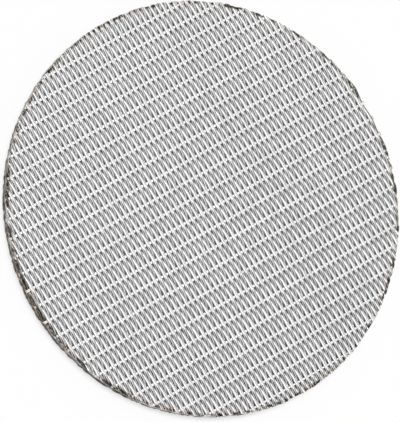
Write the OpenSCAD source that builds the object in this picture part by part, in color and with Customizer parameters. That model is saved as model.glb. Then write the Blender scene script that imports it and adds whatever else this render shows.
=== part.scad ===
// Wire mesh filter disc, a round plate cut from sintered wire mesh and lying flat.
// Its upper face is a plain Dutch weave: thick warps along X, thin wefts packed side by side along Y.
// The finer layers below are bonded to it into one rigid plate with a flat underside.
// The origin is at the centre of the underside, with +Z up through the weave.

/* [Plate] */
// Outside diameter of the cut disc
disc_d = 51; // [30:0.5:70]
// Thickness of the whole plate, from the underside to the weft crowns
plate_t = 1.7; // [1.4:0.05:4]
// Setback of the woven layer from the cut edge
weave_setback = 0.08; // [0.04:0.01:0.5]

/* [Weave] */
// Pitch of the warp wires
warp_pitch = 2.15; // [1.6:0.01:4]
// Pitch of the weft wires
weft_pitch = 0.37; // [0.3:0.01:0.8]
// Height of a weft crown, where it arches over a warp, above the level rows between two warps
crown_h = 0.2; // [0.1:0.01:0.5]
// Depth of a pit, where a weft dives under a warp, below the level rows
pit_depth = 0.2; // [0.1:0.01:0.5]
// Metal between the deepest pits and the bonded layers
floor_t = 0.1; // [0.05:0.01:0.3]
// Distance in Y from the disc's centre to its nearest warp wire
warp_shift = -0.54; // [-1:0.01:1]
// Distance in X from the disc's centre to a weft wire that passes over that warp
weft_shift = -0.05; // [-0.3:0.01:0.3]

/* [Hidden] */
rim_facets = 180;
root_depth = floor_t;
disc_r = disc_d / 2;
weave_r = disc_r - weave_setback;
level_z = plate_t - crown_h;
bonded_t = level_z - pit_depth - floor_t;

// Facet rows lie at every crossing and every level row, or at the crossings alone on a very fine disc
fine_limit = 2900;
crossings = PI * weave_r * weave_r / (warp_pitch * weft_pitch);
row_step = warp_pitch / (crossings < fine_limit ? 2 : 1);

// The outermost wefts and rows stay clear of the edge, so that no facet is a sliver
edge_gap = weft_pitch / 2;
first_weft = ceil((edge_gap - weave_r - weft_shift) / weft_pitch);
last_weft = floor((weave_r - edge_gap - weft_shift) / weft_pitch);

// A weft's path: 1 on a crown, 0 at a level row, -1 in a pit, with each weft opposite to the next
function wave(weft, y) = cos(180 * (weft + (y - warp_shift) / warp_pitch));
function weave_z(weft, y) =
    let (w = wave(weft, y))
    level_z + w * (w > 0 ? crown_h : pit_depth);

function weft_x(weft) = weft_shift + weft * weft_pitch;
function half_length(weft) = sqrt(weave_r * weave_r - weft_x(weft) * weft_x(weft));
function row_y(row) = warp_shift + row * row_step;
function last_row(weft) = floor((half_length(weft) - edge_gap - warp_shift) / row_step);
function first_row(weft) = ceil((edge_gap - half_length(weft) - warp_shift) / row_step);
function on_weft(weft, y) = [weft_x(weft), y, weave_z(weft, y)];

// Points along the top of one weft, from edge to edge
function weft_points(weft) = [
    on_weft(weft, -half_length(weft)),
    for (row = [first_row(weft) : last_row(weft)]) on_weft(weft, row_y(row)),
    on_weft(weft, half_length(weft))
];

wefts = [for (weft = [first_weft : last_weft]) weft_points(weft)];
starts = [for (i = 0, n = 0; i < len(wefts); n = n + len(wefts[i]), i = i + 1) n];
top_points = [for (line = wefts) each line];
tips = [for (side = [-1, 1]) [side * weave_r, 0, level_z]];

// Place of a weft's point in the list: the rows just outside its first and last are its two cut ends
function at(weft, row) = starts[weft - first_weft] + row - first_row(weft) + 1;
function low_end(weft) = at(weft, first_row(weft) - 1);
function high_end(weft) = at(weft, last_row(weft) + 1);

// Facets between a weft and the next, over the rows that both have, creased along the crowns
function row_facets(weft, row) =
    let (
        a = at(weft, row),
        b = at(weft + 1, row),
        c = at(weft + 1, row + 1),
        d = at(weft, row + 1),
        crown = max(wave(weft, row_y(row)), wave(weft + 1, row_y(row + 1)))
    )
    crown > 0.5 ? [[a, d, c], [a, c, b]] : [[a, d, b], [d, c, b]];

// Facets at the +Y ends, as a fan from the end of the shorter of the two wefts
function high_facets(weft, row) =
    let (next = weft + 1, left_long = last_row(weft) >= last_row(next))
    let (tip = left_long ? high_end(next) : high_end(weft))
    concat(
        [[at(weft, row), tip, at(next, row)]],
        left_long
            ? [for (r = [row : last_row(weft)]) [at(weft, r), at(weft, r + 1), tip]]
            : [for (r = [row : last_row(next)]) [at(next, r), tip, at(next, r + 1)]]
    );

// Facets at the -Y ends
function low_facets(weft, row) =
    let (next = weft + 1, left_long = first_row(weft) <= first_row(next))
    let (tip = left_long ? low_end(next) : low_end(weft))
    concat(
        [[at(weft, row), at(next, row), tip]],
        left_long
            ? [for (r = [first_row(weft) - 1 : row - 1]) [at(weft, r), at(weft, r + 1), tip]]
            : [for (r = [first_row(next) - 1 : row - 1]) [at(next, r + 1), at(next, r), tip]]
    );

function strip_facets(weft) =
    let (
        low = max(first_row(weft), first_row(weft + 1)),
        high = min(last_row(weft), last_row(weft + 1))
    )
    concat(
        low_facets(weft, low),
        [for (row = [low : high - 1]) each row_facets(weft, row)],
        high_facets(weft, high)
    );

// Facets from the outermost weft on each side to the point of the edge beyond it
function tip_facets() =
    let (left = len(top_points), right = left + 1)
    concat(
        [for (r = [first_row(first_weft) - 1 : last_row(first_weft)])
            [left, at(first_weft, r + 1), at(first_weft, r)]],
        [for (r = [first_row(last_weft) - 1 : last_row(last_weft)])
            [right, at(last_weft, r), at(last_weft, r + 1)]]
    );

// The edge of the woven layer, clockwise from above
function edge_loop() = concat(
    [len(top_points)],
    [for (weft = [first_weft : last_weft]) high_end(weft)],
    [len(top_points) + 1],
    [for (weft = [last_weft : -1 : first_weft]) low_end(weft)]
);

// The woven layer: one closed field of crowns and pits, rooted in the bonded layers
module weave() {
    upper = concat(top_points, tips);
    loop = edge_loop();
    n = len(loop);
    lower = [for (k = loop) [upper[k][0], upper[k][1], bonded_t - root_depth]];
    base = len(upper);
    walls = [for (k = [0 : n - 1]) let (m = (k + 1) % n)
        each [[loop[k], base + k, base + m], [loop[k], base + m, loop[m]]]];
    underside = [[for (k = [n - 1 : -1 : 0]) base + k]];
    polyhedron(
        points = concat(upper, lower),
        faces = concat(
            [for (weft = [first_weft : last_weft - 1]) each strip_facets(weft)],
            tip_facets(),
            walls,
            underside
        )
    );
}

module mesh_disc() {
    color("silver") {
        cylinder(h = bonded_t, r = disc_r, $fn = rim_facets);
        weave();
    }
}

mesh_disc();
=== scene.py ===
import bpy
import math
import random
from mathutils import Matrix, Vector


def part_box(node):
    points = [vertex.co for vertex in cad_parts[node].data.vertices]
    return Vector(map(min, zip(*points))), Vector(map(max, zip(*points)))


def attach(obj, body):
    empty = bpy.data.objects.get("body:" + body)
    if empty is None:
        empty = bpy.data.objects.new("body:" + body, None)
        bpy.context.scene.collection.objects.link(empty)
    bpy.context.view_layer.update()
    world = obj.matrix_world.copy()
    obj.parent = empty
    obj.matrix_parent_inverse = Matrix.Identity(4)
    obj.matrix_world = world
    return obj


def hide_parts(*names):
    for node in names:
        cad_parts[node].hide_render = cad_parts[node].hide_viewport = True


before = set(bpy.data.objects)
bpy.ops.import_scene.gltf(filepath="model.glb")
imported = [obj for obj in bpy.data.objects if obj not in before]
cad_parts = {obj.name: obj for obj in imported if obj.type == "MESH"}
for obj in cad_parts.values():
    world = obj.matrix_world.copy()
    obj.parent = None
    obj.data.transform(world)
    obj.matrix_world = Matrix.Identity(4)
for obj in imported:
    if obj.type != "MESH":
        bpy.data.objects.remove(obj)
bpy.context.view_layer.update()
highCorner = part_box("mesh_disc")[1]
discRadius = highCorner.x
plateThickness = highCorner.z
mm = 0.001
random.seed(17)                   # the same ragged cut on every run
print("frame loaded, disc radius", round(discRadius / mm, 2), "mm")


# helpers for all the wires

wireWork = {
    "cutTolerance": 0.0001 * mm,  # the wires are too thin for the cut's usual tolerance
    "smoothAngle": 50,
}


def deselectAll():
    if bpy.context.object and bpy.context.object.mode != "OBJECT":
        bpy.ops.object.mode_set(mode="OBJECT")
    bpy.ops.object.select_all(action="DESELECT")


def pick(obj):
    deselectAll()
    obj.select_set(True)
    bpy.context.view_layer.objects.active = obj


def direction(azimuth, elevation):
    a, e = math.radians(azimuth), math.radians(elevation)
    return Vector((math.cos(e) * math.cos(a), math.cos(e) * math.sin(a), math.sin(e)))


def setTone(obj, value):
    # each wire has a tone of its own, which the finish reads
    mesh = obj.data
    tone = mesh.attributes.get("wireTone") or mesh.attributes.new("wireTone", "FLOAT", "POINT")
    tone.data.foreach_set("value", [value] * len(mesh.vertices))


def copyOf(obj, name):
    twin = obj.copy()
    twin.data = obj.data.copy()
    twin.name = name
    bpy.context.scene.collection.objects.link(twin)
    setTone(twin, random.random())
    return twin


def straightWire(sides, radius, halfLength, ends):
    # round bar along X
    deselectAll()
    bpy.ops.mesh.primitive_circle_add(
        vertices=sides, radius=radius, fill_type=ends, rotation=(0, math.pi / 2, 0))
    wire = bpy.context.object
    bpy.ops.object.transform_apply(location=False, rotation=True, scale=False)
    bpy.ops.object.mode_set(mode="EDIT")
    bpy.ops.mesh.select_all(action="SELECT")
    bpy.ops.transform.translate(value=(-halfLength, 0, 0))
    bpy.ops.mesh.extrude_region_move(TRANSFORM_OT_translate={"value": (2 * halfLength, 0, 0)})
    bpy.ops.object.mode_set(mode="OBJECT")
    return wire


def rimCut(offset, along, side, radius):
    # plane that touches the round edge where a wire at this offset leaves the disc
    reach = math.sqrt(radius * radius - offset * offset)
    normal = Vector((offset, side * reach, 0)) if along == "Y" else Vector((side * reach, offset, 0))
    return normal.copy(), normal.normalized()


def cutWire(wire, planes):
    # keeps what lies behind every plane and closes the cut
    pick(wire)
    bpy.ops.object.mode_set(mode="EDIT")
    for point, normal in planes:
        bpy.ops.mesh.select_all(action="SELECT")
        bpy.ops.mesh.bisect(
            plane_co=point, plane_no=normal, use_fill=True, clear_outer=True,
            threshold=wireWork["cutTolerance"])
    bpy.ops.object.mode_set(mode="OBJECT")


def joined(wires, name):
    deselectAll()
    for wire in wires:
        wire.select_set(True)
    bpy.context.view_layer.objects.active = wires[0]
    bpy.ops.object.join()
    piece = wires[0]
    piece.name = name
    piece.data.name = name
    bpy.ops.object.transform_apply(location=True, rotation=True, scale=True)
    bpy.ops.object.mode_set(mode="EDIT")
    bpy.ops.mesh.select_all(action="SELECT")
    bpy.ops.mesh.normals_make_consistent(inside=False)
    bpy.ops.object.mode_set(mode="OBJECT")
    bpy.ops.object.shade_smooth_by_angle(angle=math.radians(wireWork["smoothAngle"]))
    return piece


# woven face: wefts along Y, over and under the warps along X

weave = {
    "warpPitch": 2.153 * mm,
    "weftPitch": 0.3704 * mm,
    "warpShift": -0.475 * mm,     # warp nearest the centre, in Y
    "weftShift": -0.027 * mm,     # weft over that warp, in X
    "weftHalfWidth": 0.248 * mm,
    "weftHalfHeight": 0.188 * mm,
    "weftRise": 0.184 * mm,       # centre line above its mean, over a warp
    "weftDive": 0.156 * mm,       # and below it, under a warp
    "crownFlat": 0.034 * mm,      # rolled off the top of each crown
    "warpRadius": 0.235 * mm,
    "warpDrop": 0.027 * mm,       # warp's middle below the wefts' mean
    "ringSides": 12,
    "ringsPerCrossing": 6,
    "mergeWithin": 0.005 * mm,
    "overhang": 1.0 * mm,         # uncut warps reach this far past the edge
    "cutProud": 0.16 * mm,        # the longest wires stand this far out at the cut
    "raggedCut": 0.15 * mm,       # and the shortest wefts this much less
    "warpRagged": 0.045 * mm,     # the warps vary less
    "sideClear": 0.6,             # share of its half width that a weft's middle keeps from the edge
    "placeJitter": 0.014 * mm,
}
weaveMid = plateThickness - weave["weftHalfHeight"] - weave["weftRise"] + weave["crownFlat"]
weftReach = discRadius - weave["sideClear"] * weave["weftHalfWidth"]
weftCount = int(discRadius / weave["weftPitch"]) + 1
warpCount = int(discRadius / weave["warpPitch"]) + 1


def weftHeight(turn):
    swing = math.cos(math.pi * turn)
    return swing * (weave["weftRise"] if swing > 0 else weave["weftDive"])


def waveWire(name):
    # one over and one under crossing, extruded ring by ring from a unit circle
    deselectAll()
    bpy.ops.mesh.primitive_circle_add(
        vertices=weave["ringSides"], radius=1.0, fill_type="NOTHING", rotation=(math.pi / 2, 0, 0))
    wire = bpy.context.object
    wire.name = name
    bpy.ops.object.transform_apply(location=False, rotation=True, scale=False)
    bpy.ops.object.mode_set(mode="EDIT")
    bpy.ops.mesh.select_all(action="SELECT")
    bpy.ops.transform.resize(value=(weave["weftHalfWidth"], 1, weave["weftHalfHeight"]))
    bpy.ops.transform.translate(value=(0, 0, weftHeight(0)))
    wave = 2 * weave["warpPitch"]
    steps = 2 * weave["ringsPerCrossing"]
    for k in range(steps):
        climb = weftHeight(2 * (k + 1) / steps) - weftHeight(2 * k / steps)
        bpy.ops.mesh.extrude_region_move(
            TRANSFORM_OT_translate={"value": (0, wave / steps, climb)})
    bpy.ops.mesh.select_all(action="DESELECT")
    bpy.ops.object.mode_set(mode="OBJECT")
    # the mesh was rolled flat on top
    flatTop = plateThickness - weaveMid
    for point in wire.data.vertices:
        point.select = point.co.z > flatTop
    bpy.ops.object.mode_set(mode="EDIT")
    bpy.ops.transform.resize(value=(1, 1, 0), center_override=(0, 0, flatTop))
    bpy.ops.object.mode_set(mode="OBJECT")
    # repeated past the disc's width, with two spare waves at each end
    repeats = 2 * (math.ceil(discRadius / wave) + 2)
    rowOn = wire.modifiers.new("repeat", "ARRAY")
    rowOn.use_relative_offset = False
    rowOn.use_constant_offset = True
    rowOn.constant_offset_displace = (0, wave, 0)
    rowOn.count = repeats
    rowOn.use_merge_vertices = True
    rowOn.merge_threshold = weave["mergeWithin"]
    bpy.ops.object.modifier_apply(modifier=rowOn.name)
    bpy.ops.object.mode_set(mode="EDIT")
    bpy.ops.mesh.select_all(action="SELECT")
    bpy.ops.transform.translate(value=(0, -repeats // 2 * wave, 0))
    bpy.ops.object.mode_set(mode="OBJECT")
    return wire


masterWeft = waveWire("masterWeft")
rows = {0: [], 1: []}             # the two phases of the weave
for k in range(-weftCount, weftCount + 1):
    x = weave["weftShift"] + k * weave["weftPitch"]
    if abs(x) > weftReach:
        continue
    jitter = random.uniform(-1, 1) * weave["placeJitter"]
    wire = copyOf(masterWeft, "weft")
    lift = Vector((x + jitter, weave["warpShift"] + (k % 2) * weave["warpPitch"], weaveMid))
    wire.data.transform(Matrix.Translation(lift))
    planes = []
    for side in (-1, 1):
        radius = discRadius + weave["cutProud"] - random.random() * weave["raggedCut"]
        planes.append(rimCut(max(-radius, min(radius, x)), "Y", side, radius))
    # near the two side edges a wire also loses what stands outside the round
    outward = Vector((math.copysign(1, x), 0, 0))
    planes.append((outward * discRadius, outward))
    cutWire(wire, planes)
    rows[k % 2].append(wire)
weftEven = joined(rows[0], "weft_wires_even")
weftOdd = joined(rows[1], "weft_wires_odd")
print("wefts woven:", len(rows[0]) + len(rows[1]))

uncutReach = discRadius + weave["overhang"]
masterWarp = straightWire(weave["ringSides"], weave["warpRadius"], uncutReach, "NOTHING")
warps = []
for k in range(-warpCount, warpCount + 1):
    y = weave["warpShift"] + k * weave["warpPitch"]
    if abs(y) > discRadius - weave["warpRadius"]:
        continue
    wire = copyOf(masterWarp, "warp")
    wire.data.transform(Matrix.Translation((0, y, weaveMid - weave["warpDrop"])))
    radius = discRadius + weave["cutProud"] - random.random() * weave["warpRagged"]
    cutWire(wire, [rimCut(y, "X", side, radius) for side in (-1, 1)])  # this also closes it
    warps.append(wire)
warpWires = joined(warps, "warp_wires")
bpy.data.objects.remove(masterWarp)
print("warps laid:", len(warps))


# lower coarse layer: the same weave turned by a quarter, only its cut ends show at the edge

lowerLayer = {
    "depth": 0.75 * mm,           # below the woven face's middle
    "shown": 1.2 * mm,            # length of wire kept from the edge inwards
    "shiftY": 0.11 * mm,
    "shiftX": 0.35 * mm,
}
lowerMid = weaveMid - lowerLayer["depth"]
innerRadius = discRadius - lowerLayer["shown"]
turnedWeft = copyOf(masterWeft, "turnedWeft")
turnedWeft.data.transform(Matrix.Rotation(-math.pi / 2, 4, "Z"))


def lowerEnd(y, lift, sides):
    # one end of a wire, or the whole wire where it runs close to the edge
    wire = copyOf(turnedWeft, "lowerWeft")
    wire.data.transform(Matrix.Translation(lift))
    radius = discRadius - random.random() * weave["raggedCut"]
    planes = [rimCut(y, "X", side, radius) for side in sides]
    if len(sides) == 1:
        inward = Vector((-sides[0], 0, 0))
        back = math.sqrt(innerRadius * innerRadius - y * y)
        planes.append((Vector((sides[0] * back, y, 0)), inward))
    else:
        outward = Vector((0, math.copysign(1, y), 0))
        planes.append((outward * radius, outward))
    cutWire(wire, planes)
    return wire


ends = []
for k in range(-weftCount, weftCount + 1):
    y = lowerLayer["shiftY"] + k * weave["weftPitch"]
    if abs(y) > weftReach:
        continue
    lift = Vector((lowerLayer["shiftX"] + (k % 2) * weave["warpPitch"], y, lowerMid))
    for sides in ((-1,), (1,)) if abs(y) < innerRadius else ((-1, 1),):
        ends.append(lowerEnd(y, lift, sides))
lowerWires = joined(ends, "lower_wire_ends")
bpy.data.objects.remove(turnedWeft)
bpy.data.objects.remove(masterWeft)
print("lower wire ends:", len(ends))


# bonded fine layers: a turned plate that carries the weaves

bonded = {
    "fineBottom": 0.05 * mm,
    "fineTop": 0.19 * mm,
    "coreTop": 1.2 * mm,
    "coreSetback": 0.22 * mm,
    "ledgeRise": 0.02 * mm,       # from the fine layers up to the core
    "edgeRound": 0.03 * mm,
    "edgeProud": 0.055 * mm,      # the fine layers stand this far out between the notches
    "edgeSegments": 480,
    "edgeBite": 0.16 * mm,        # deepest notch that the cut left in the edge
    "smoothAngle": 30,
    "tone": 0.5,
}
fineRadius = discRadius + bonded["edgeProud"]
roundRadius = fineRadius - bonded["edgeRound"]
coreRadius = discRadius - bonded["coreSetback"]
ledgeRadius = 0.5 * (coreRadius + roundRadius)


def raiseEdge(height, toRadius, fromRadius):
    bpy.ops.mesh.extrude_region_move(TRANSFORM_OT_translate={"value": (0, 0, height)})
    grow = toRadius / fromRadius
    bpy.ops.transform.resize(value=(grow, grow, 1))


deselectAll()
bpy.ops.mesh.primitive_circle_add(
    vertices=bonded["edgeSegments"], radius=roundRadius, fill_type="NGON")
bondedLayers = bpy.context.object
bondedLayers.name = "bonded_layers"
bpy.ops.object.mode_set(mode="EDIT")
bpy.ops.mesh.select_all(action="SELECT")
bpy.ops.transform.translate(value=(0, 0, bonded["fineBottom"]))
raiseEdge(bonded["edgeRound"], fineRadius, roundRadius)
raiseEdge(bonded["fineTop"] - bonded["fineBottom"] - 2 * bonded["edgeRound"], fineRadius, fineRadius)
raiseEdge(bonded["edgeRound"], roundRadius, fineRadius)
raiseEdge(bonded["ledgeRise"], coreRadius, roundRadius)
raiseEdge(bonded["coreTop"] - bonded["fineTop"] - bonded["ledgeRise"], coreRadius, coreRadius)
bpy.ops.mesh.select_all(action="SELECT")
bpy.ops.mesh.normals_make_consistent(inside=False)
bpy.ops.mesh.select_all(action="DESELECT")
bpy.ops.object.mode_set(mode="OBJECT")
# the cut left small notches all round the fine layers
bites = [random.random() ** 2 * bonded["edgeBite"] for k in range(bonded["edgeSegments"])]
for point in bondedLayers.data.vertices:
    reach = math.hypot(point.co.x, point.co.y)
    if reach > ledgeRadius:
        share = math.atan2(point.co.y, point.co.x) / math.tau
        bite = bites[round(share * bonded["edgeSegments"]) % bonded["edgeSegments"]]
        point.co.x *= 1 - bite / reach
        point.co.y *= 1 - bite / reach
bpy.ops.object.shade_smooth_by_angle(angle=math.radians(bonded["smoothAngle"]))
setTone(bondedLayers, bonded["tone"])
print("bonded layers turned")


# fine square mesh on the underside, rolled flat, its crossings fused into the plate

underMesh = {
    "pitch": 0.254 * mm,
    "wireRadius": 0.05 * mm,
    "ringSides": 8,
    "upperSet": 0.012 * mm,       # the second set of wires lies this much higher
    "endGap": 0.06 * mm,
}
fineWire = straightWire(underMesh["ringSides"], underMesh["wireRadius"], 1.0, "NGON")
fineWires = []
fineReach = discRadius - underMesh["endGap"]
fineCount = int(fineReach / underMesh["pitch"] - 0.5)
for turn, height in ((0, 0), (math.pi / 2, underMesh["upperSet"])):
    for k in range(-fineCount, fineCount + 1):
        offset = k * underMesh["pitch"]
        halfLength = math.sqrt(fineReach * fineReach - offset * offset)
        place = Matrix.Translation((0, offset, underMesh["wireRadius"] + height))
        wire = copyOf(fineWire, "fineWire")
        wire.data.transform(
            Matrix.Rotation(turn, 4, "Z") @ place @ Matrix.Diagonal((halfLength, 1, 1, 1)))
        fineWires.append(wire)
underWires = joined(fineWires, "under_mesh_wires")
bpy.data.objects.remove(fineWire)
print("underside wires:", len(fineWires))


# finishes: a grain is a noise scale, a band the part of a noise that counts,
# and a tone the share that each wire's own tone has in it

steel = {
    "colour": (0.64, 0.64, 0.64),
    "shade": (0.55, 0.55, 0.55),
    "grain": 900,
    "shadeTone": 0.25,
    "shadeBand": (0.30, 0.55),
    # painted shade in the pits between the wires
    "paintedPitShade": (0.03, 0.03, 0.03),
    "paintedShadeDepth": (0.20 * mm, 0.36 * mm),  # below the crowns, from bright to full painted shade
    "paintedShadeEdge": (0.28 * mm, 0.70 * mm),   # the cut edge itself stays clear of that
    "paintedShadeBand": (0.33, 0.42),
    "roughness": 0.18,
    "roughSpread": (-0.05, 0.08),
    "roughBand": (0.30, 0.70),
    "tint": (0.48, 0.40, 0.31),
    "tintReach": 0.8 * mm,
    "tintTop": 0.28,                        # share of the tint left on the crowns
    "tintDepth": (0.02 * mm, 0.30 * mm),    # and where it becomes full on the cut ends below
    "tintGrain": 420,
    "tintTone": 0.30,
    "tintBand": (0.30, 0.62),
    # painted shade in the gaps between the cut ends
    "rimPaintedShade": (0.05, 0.048, 0.045),
    "rimReach": (0.40 * mm, 0.12 * mm),
    "rimGrain": 2600,
    "rimTone": 0.35,
    "rimBand": (0.40, 0.62),
    "lowerColour": (0.60, 0.60, 0.59),
    "lowerShade": (0.36, 0.36, 0.36),
    "lowerTone": 0.5,
    "lowerGrain": 220,
    "lowerClouds": 0.4,
    "lowerBand": (0.35, 0.65),
    "lowerRoughness": 0.38,
}


def node(tree, kind, **values):
    made = tree.nodes.new(kind)
    for key, value in values.items():
        setattr(made, key, value)
    return made


def ramp(tree, source, low, high, toLow=0.0, toHigh=1.0, smooth=False):
    made = node(tree, "ShaderNodeMapRange", interpolation_type="SMOOTHSTEP" if smooth else "LINEAR")
    made.inputs["From Min"].default_value = low
    made.inputs["From Max"].default_value = high
    made.inputs["To Min"].default_value = toLow
    made.inputs["To Max"].default_value = toHigh
    tree.links.new(source, made.inputs["Value"])
    return made.outputs["Result"]


def times(tree, first, second):
    made = node(tree, "ShaderNodeMath", operation="MULTIPLY")
    tree.links.new(first, made.inputs[0])
    if isinstance(second, float):
        made.inputs[1].default_value = second
    else:
        tree.links.new(second, made.inputs[1])
    return made.outputs["Value"]


def over(tree, base, colour, amount):
    made = node(tree, "ShaderNodeMix", data_type="RGBA")
    made.inputs["B"].default_value = colour + (1,)
    tree.links.new(amount, made.inputs["Factor"])
    if isinstance(base, tuple):
        made.inputs["A"].default_value = base + (1,)
    else:
        tree.links.new(base, made.inputs["A"])
    return made.outputs["Result"]


def blend(tree, first, second, share):
    made = node(tree, "ShaderNodeMix", data_type="FLOAT")
    made.inputs["Factor"].default_value = share
    tree.links.new(first, made.inputs["A"])
    tree.links.new(second, made.inputs["B"])
    return made.outputs["Result"]


def grain(tree, place, scale, detail=2):
    made = node(tree, "ShaderNodeTexNoise")
    made.inputs["Scale"].default_value = scale
    made.inputs["Detail"].default_value = detail
    tree.links.new(place, made.inputs["Vector"])
    return made.outputs["Fac"]


def fromCentre(tree, place):
    flat = node(tree, "ShaderNodeVectorMath", operation="MULTIPLY")
    flat.inputs[1].default_value = (1, 1, 0)
    tree.links.new(place, flat.inputs[0])
    length = node(tree, "ShaderNodeVectorMath", operation="LENGTH")
    tree.links.new(flat.outputs["Vector"], length.inputs[0])
    return length.outputs["Value"]


def meshSteel(name, rimShadeShare, lower=False):
    finish = bpy.data.materials.new(name)
    finish.use_nodes = True
    tree = finish.node_tree
    tree.nodes.clear()
    out = node(tree, "ShaderNodeOutputMaterial")
    shader = node(tree, "ShaderNodeBsdfPrincipled")
    shader.inputs["Metallic"].default_value = 1.0
    tree.links.new(shader.outputs[0], out.inputs[0])
    place = node(tree, "ShaderNodeTexCoord").outputs["Object"]
    split = node(tree, "ShaderNodeSeparateXYZ")
    tree.links.new(place, split.inputs[0])
    height = split.outputs["Z"]
    away = fromCentre(tree, place)
    drift = grain(tree, place, steel["grain"], 3)
    tone = node(tree, "ShaderNodeAttribute", attribute_name="wireTone").outputs["Fac"]

    if lower:
        # duller, wire by wire and in broad clouds
        roughness = steel["lowerRoughness"]
        clouds = grain(tree, place, steel["lowerGrain"])
        byWire = blend(tree, drift, tone, steel["lowerTone"])
        mixed = blend(tree, byWire, clouds, steel["lowerClouds"])
        bright = ramp(tree, mixed, *steel["lowerBand"])
        colour = over(tree, steel["lowerShade"], steel["lowerColour"], bright)
    else:
        # bright and duller lengths of wire
        roughness = steel["roughness"]
        bright = ramp(tree, blend(tree, drift, tone, steel["shadeTone"]), *steel["shadeBand"])
        colour = over(tree, steel["shade"], steel["colour"], bright)

        # painted shade: wires darken towards the pits, where the shade falls
        deep = ramp(tree, height, *(plateThickness - depth for depth in steel["paintedShadeDepth"]))
        clear = ramp(tree, away, *(discRadius - edge for edge in steel["paintedShadeEdge"]), smooth=True)
        uneven = ramp(tree, drift, *steel["paintedShadeBand"])
        colour = over(tree, colour, steel["paintedPitShade"], times(tree, times(tree, deep, clear), uneven))

    # brown heat tint along the cut edge, in patches
    near = ramp(tree, away, discRadius - steel["tintReach"], discRadius, smooth=True)
    mixed = blend(tree, grain(tree, place, steel["tintGrain"]), tone, steel["tintTone"])
    patchy = ramp(tree, mixed, *steel["tintBand"])
    levels = (plateThickness - depth for depth in steel["tintDepth"])
    below = ramp(tree, height, *levels, steel["tintTop"])
    colour = over(tree, colour, steel["tint"], times(tree, times(tree, near, patchy), below))

    # painted shade: dark spots in the gaps between the cut ends
    atCut = ramp(tree, away, *(discRadius - edge for edge in steel["rimReach"]), smooth=True)
    mixed = blend(tree, grain(tree, place, steel["rimGrain"]), tone, steel["rimTone"])
    spots = ramp(tree, mixed, *steel["rimBand"])
    colour = over(tree, colour, steel["rimPaintedShade"], times(tree, times(tree, atCut, spots), rimShadeShare))

    spread = (roughness + change for change in steel["roughSpread"])
    tree.links.new(colour, shader.inputs["Base Color"])
    tree.links.new(ramp(tree, drift, *steel["roughBand"], *spread), shader.inputs["Roughness"])
    return finish


# each finish takes its own share of the painted shade between the cut ends
finishes = {
    weftEven: meshSteel("weft_wire", rimShadeShare=1.0),
    warpWires: meshSteel("warp_wire", rimShadeShare=0.25),
    lowerWires: meshSteel("lower_wire", rimShadeShare=0.6, lower=True),
    bondedLayers: meshSteel("bonded_fine_mesh", rimShadeShare=0.6, lower=True),
}
finishes[weftOdd] = finishes[weftEven]
finishes[underWires] = finishes[bondedLayers]
for piece, finish in finishes.items():
    piece.data.materials.clear()
    piece.data.materials.append(finish)
    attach(piece, "root")
    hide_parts("mesh_disc")
print("finishes set")


# studio: white floor, an even sky with one dark card in it, and a few soft lamps

studio = {
    "floorSize": 3.0,
    "floorColour": (0.06, 0.06, 0.06),
    "floorLift": 0.93,
    "contactLight": (70, 30),     # azimuth and elevation of the light behind the painted contact shadow
    "contactLevel": 0.52,
    "contactReach": 0.65 * mm,
    "contactSamples": 8,
    "skyLevel": 0.8,
    "darkCard": (240, 56, 26),    # azimuth, elevation, half angle
    "lamps": (                    # azimuth, elevation, strength
        (0, 68, 0.5),
        (90, 68, 3.0),
        (180, 68, 4.0),
        (315, 68, 2.25),
        (60, 46, 2.75),
        (0, 24, 2.0),
        (192, 24, 1.0),
        (288, 24, 4.0),
    ),
    "lampHalf": 12,
    "softEdge": (1.4, 0.6),       # a patch fades over this part of its half angle
}
deselectAll()
bpy.ops.mesh.primitive_plane_add(size=studio["floorSize"])
floor = bpy.context.object
floor.name = "floor"
paper = bpy.data.materials.new("white_paper")
paper.use_nodes = True
tree = paper.node_tree
tree.nodes.clear()
out = node(tree, "ShaderNodeOutputMaterial")
matt = node(tree, "ShaderNodeBsdfDiffuse")
matt.inputs["Color"].default_value = studio["floorColour"] + (1,)
glow = node(tree, "ShaderNodeEmission")
lightPath = node(tree, "ShaderNodeLightPath")
seen = lightPath.outputs["Is Camera Ray"]
for kind in ("Is Glossy Ray", "Is Transmission Ray"):
    either = node(tree, "ShaderNodeMath", operation="MAXIMUM")
    tree.links.new(seen, either.inputs[0])
    tree.links.new(lightPath.outputs[kind], either.inputs[1])
    seen = either.outputs["Value"]
# painted soft contact shadow: the floor's glow darkens near the disc, on the side away from the
# light
towards = node(tree, "ShaderNodeCombineXYZ")
for axis, value in zip("XYZ", direction(*studio["contactLight"])):
    towards.inputs[axis].default_value = value
touch = node(tree, "ShaderNodeAmbientOcclusion", samples=studio["contactSamples"])
touch.inputs["Distance"].default_value = studio["contactReach"]
tree.links.new(towards.outputs["Vector"], touch.inputs["Normal"])
darkest = studio["contactLevel"] * studio["floorLift"]
contact = ramp(tree, touch.outputs["AO"], 0, 1, darkest, studio["floorLift"])
tree.links.new(times(tree, seen, contact), glow.inputs["Strength"])
both = node(tree, "ShaderNodeAddShader")
tree.links.new(matt.outputs[0], both.inputs[0])
tree.links.new(glow.outputs[0], both.inputs[1])
# clear from below, so that the underside can be looked at
side = node(tree, "ShaderNodeMixShader")
tree.links.new(node(tree, "ShaderNodeNewGeometry").outputs["Backfacing"], side.inputs[0])
tree.links.new(both.outputs[0], side.inputs[1])
tree.links.new(node(tree, "ShaderNodeBsdfTransparent").outputs[0], side.inputs[2])
tree.links.new(side.outputs[0], out.inputs[0])
floor.data.materials.append(paper)

world = bpy.data.worlds.new("studio")
bpy.context.scene.world = world
world.use_nodes = True
tree = world.node_tree
tree.nodes.clear()
out = node(tree, "ShaderNodeOutputWorld")
sky = node(tree, "ShaderNodeBackground")
around = node(tree, "ShaderNodeTexCoord").outputs["Generated"]


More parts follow.
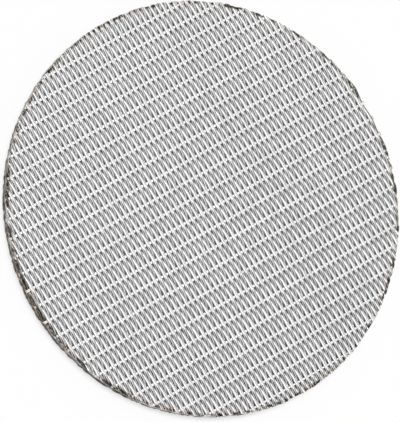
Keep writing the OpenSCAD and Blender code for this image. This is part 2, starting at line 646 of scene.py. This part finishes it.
def skyPatch(azimuth, elevation, half, low, high):
    # soft round patch of the sky, from its rim to its middle
    facing = node(tree, "ShaderNodeVectorMath", operation="DOT_PRODUCT")
    facing.inputs[1].default_value = direction(azimuth, elevation)
    tree.links.new(around, facing.inputs[0])
    rim, middle = (math.cos(part * math.radians(half)) for part in studio["softEdge"])
    return ramp(tree, facing.outputs["Value"], rim, middle, low, high, smooth=True)


level = skyPatch(*studio["darkCard"], studio["skyLevel"], 0.0)
for azimuth, elevation, strength in studio["lamps"]:
    lamp = skyPatch(azimuth, elevation, studio["lampHalf"], 0.0, strength)
    addUp = node(tree, "ShaderNodeMath", operation="ADD")
    tree.links.new(level, addUp.inputs[0])
    tree.links.new(lamp, addUp.inputs[1])
    level = addUp.outputs["Value"]
# the camera itself sees plain white
white = node(tree, "ShaderNodeMix", data_type="FLOAT")
white.inputs["B"].default_value = 1.0
tree.links.new(node(tree, "ShaderNodeLightPath").outputs["Is Camera Ray"], white.inputs["Factor"])
tree.links.new(level, white.inputs["A"])
tree.links.new(white.outputs["Result"], sky.inputs["Strength"])
tree.links.new(sky.outputs[0], out.inputs[0])
print("studio lit")


# camera at the photograph's angle, for an image of 400 by 422

view = {
    "aim": (-0.890 * mm, -0.071 * mm, plateThickness),
    "azimuth": 174.22,
    "elevation": 67.14,
    "roll": -66.94,
    "distance": 601.0 * mm,
    "lens": 421.5,
    "sensor": 36,
    "clipStart": 10 * mm,
}
lens = bpy.data.cameras.new("photoCamera")
lens.lens = view["lens"]
lens.sensor_width = view["sensor"]
lens.clip_start = view["clipStart"]
camera = bpy.data.objects.new("photoCamera", lens)
bpy.context.scene.collection.objects.link(camera)
back = direction(view["azimuth"], view["elevation"])
upright = (Vector((0, 0, 1)) - back * back.z).normalized()
across = upright.cross(back)
roll = math.radians(view["roll"])
up = upright * math.cos(roll) + across * math.sin(roll)
right = up.cross(back)
stand = Vector(view["aim"]) + back * view["distance"]
camera.matrix_world = Matrix.Translation(stand) @ Matrix((right, up, back)).transposed().to_4x4()
bpy.context.scene.camera = camera
bpy.context.scene.view_settings.view_transform = "Standard"
print("camera set")
